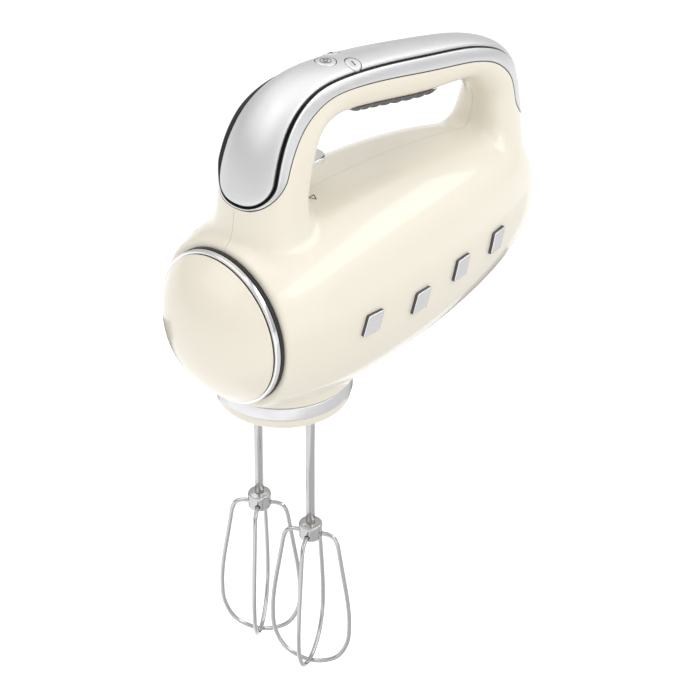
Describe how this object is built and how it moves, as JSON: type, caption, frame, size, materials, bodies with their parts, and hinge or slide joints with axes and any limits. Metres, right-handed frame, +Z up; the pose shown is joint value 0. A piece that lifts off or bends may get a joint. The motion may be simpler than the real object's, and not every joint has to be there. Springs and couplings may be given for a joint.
{
  "type": "hand mixer",
  "caption": "Retro electric hand mixer: torpedo body with round front cap, tall arched grip with a satin cover and keys, and wire loop beaters hanging from a round boss.",
  "frame": {"origin": "midway between the two beater sockets, on the flat underside of the beater boss", "axes": "+Z up along the beater axes, -Y towards the round front cap, +X the flank with the studs, side by side beaters along X"},
  "size_m": [0.1042, 0.2362, 0.3405],
  "materials": {
    "cream_shell": "cream, high gloss",
    "satin_cover": "satin silver, fine grain along the handle",
    "chrome_trim": "polished",
    "beater_steel": "drawn wire and turned shaft, bright",
    "steel": "turned",
    "grip_rubber": "matt grey",
    "black_plastic": "matt black",
    "nylon": "natural nylon",
    "cast_alloy": "as cast",
    "brass": "turned",
    "copper": "enamelled copper",
    "core_iron": "stacked laminations",
    "circuit_board": "board with solder mask"
  },
  "bodies": {
    "housing": {"housing_left": "cream_shell", "housing_right": "cream_shell", "front_cap": "cream_shell", "beater_boss": "cream_shell", "handle_cover": "satin_cover", "handle_bezel": "chrome_trim", "cap_ring": "chrome_trim", "boss_trim": "chrome_trim", "flank_stud_1": "chrome_trim", "flank_stud_2": "chrome_trim", "flank_stud_3": "chrome_trim", "flank_stud_4": "chrome_trim", "case_screw_1": "steel", "case_screw_2": "steel", "case_screw_3": "steel", "case_screw_4": "steel", "front_bearing": "steel", "middle_bearing": "steel", "rear_bearing": "steel", "eject_spring": "steel", "grip_pad": "grip_rubber", "cap_gasket": "grip_rubber", "cord_inlet": "black_plastic", "brush_left": "black_plastic", "brush_right": "black_plastic", "gear_chassis": "cast_alloy", "rear_motor_bracket": "cast_alloy", "spindle_bush_left": "brass", "spindle_bush_right": "brass", "brush_holder_left": "brass", "brush_holder_right": "brass", "field_coil_upper": "copper", "field_coil_lower": "copper", "motor_stator": "core_iron", "control_board": "circuit_board", "power_board": "circuit_board"},
    "motor": {"motor_shaft": "steel", "worm": "brass", "armature_core": "core_iron", "armature_winding_front": "copper", "armature_winding_rear": "copper", "commutator": "copper", "cooling_fan": "nylon"},
    "spindle_left": {"spindle_left": "steel", "worm_gear_left": "nylon"},
    "spindle_right": {"spindle_right": "steel", "worm_gear_right": "nylon"},
    "beater_left": {"beater_shaft_left": "beater_steel", "beater_hub_left": "beater_steel", "beater_wire_a_left": "beater_steel", "beater_wire_b_left": "beater_steel"},
    "beater_right": {"beater_shaft_right": "beater_steel", "beater_hub_right": "beater_steel", "beater_wire_a_right": "beater_steel", "beater_wire_b_right": "beater_steel"},
    "ejector": {"eject_lever": "chrome_trim", "eject_plate": "nylon"},
    "power_key": {"power_button": "satin_cover"},
    "speed_down_key": {"speed_down_button": "satin_cover"},
    "speed_up_key": {"speed_up_button": "satin_cover"}
  },
  "joints": [
    {"name": "motor_spin", "type": "hinge", "parent": "housing", "child": "motor", "pos_m": [0, 0.04, 0.06], "axis": [0, 1, 0], "continuous": true},
    {"name": "spindle_left_spin", "type": "hinge", "parent": "housing", "child": "spindle_left", "pos_m": [-0.019, 0, 0.04], "axis": [0, 0, 1], "continuous": true},
    {"name": "spindle_right_spin", "type": "hinge", "parent": "housing", "child": "spindle_right", "pos_m": [0.019, 0, 0.04], "axis": [0, 0, 1], "continuous": true},
    {"name": "beater_left_release", "type": "slide", "parent": "spindle_left", "child": "beater_left", "axis": [0, 0, 1], "range_m": [-0.045, 0]},
    {"name": "beater_right_release", "type": "slide", "parent": "spindle_right", "child": "beater_right", "axis": [0, 0, 1], "range_m": [-0.045, 0]},
    {"name": "eject_press", "type": "slide", "parent": "housing", "child": "ejector", "axis": [0, 0, 1], "range_m": [-0.005, 0], "stiffness_N_per_m": 600, "springref_m": 0.004, "deforming": ["eject_spring"]},
    {"name": "power_press", "type": "slide", "parent": "housing", "child": "power_key", "axis": [0, -0.0779, -0.997], "range_m": [0, 0.0007], "stiffness_N_per_m": 1500, "springref_m": -0.0007},
    {"name": "speed_down_press", "type": "slide", "parent": "housing", "child": "speed_down_key", "axis": [-0.4048, -0.1181, -0.9067], "range_m": [0, 0.0007], "stiffness_N_per_m": 1500, "springref_m": -0.0007},
    {"name": "speed_up_press", "type": "slide", "parent": "housing", "child": "speed_up_key", "axis": [0.4048, -0.1181, -0.9067], "range_m": [0, 0.0007], "stiffness_N_per_m": 1500, "springref_m": -0.0007}
  ],
  "couplings": [
    {"joint": "spindle_left_spin", "follows": "motor_spin", "ratio": 0.0625},
    {"joint": "spindle_right_spin", "follows": "motor_spin", "ratio": -0.0625}
  ]
}
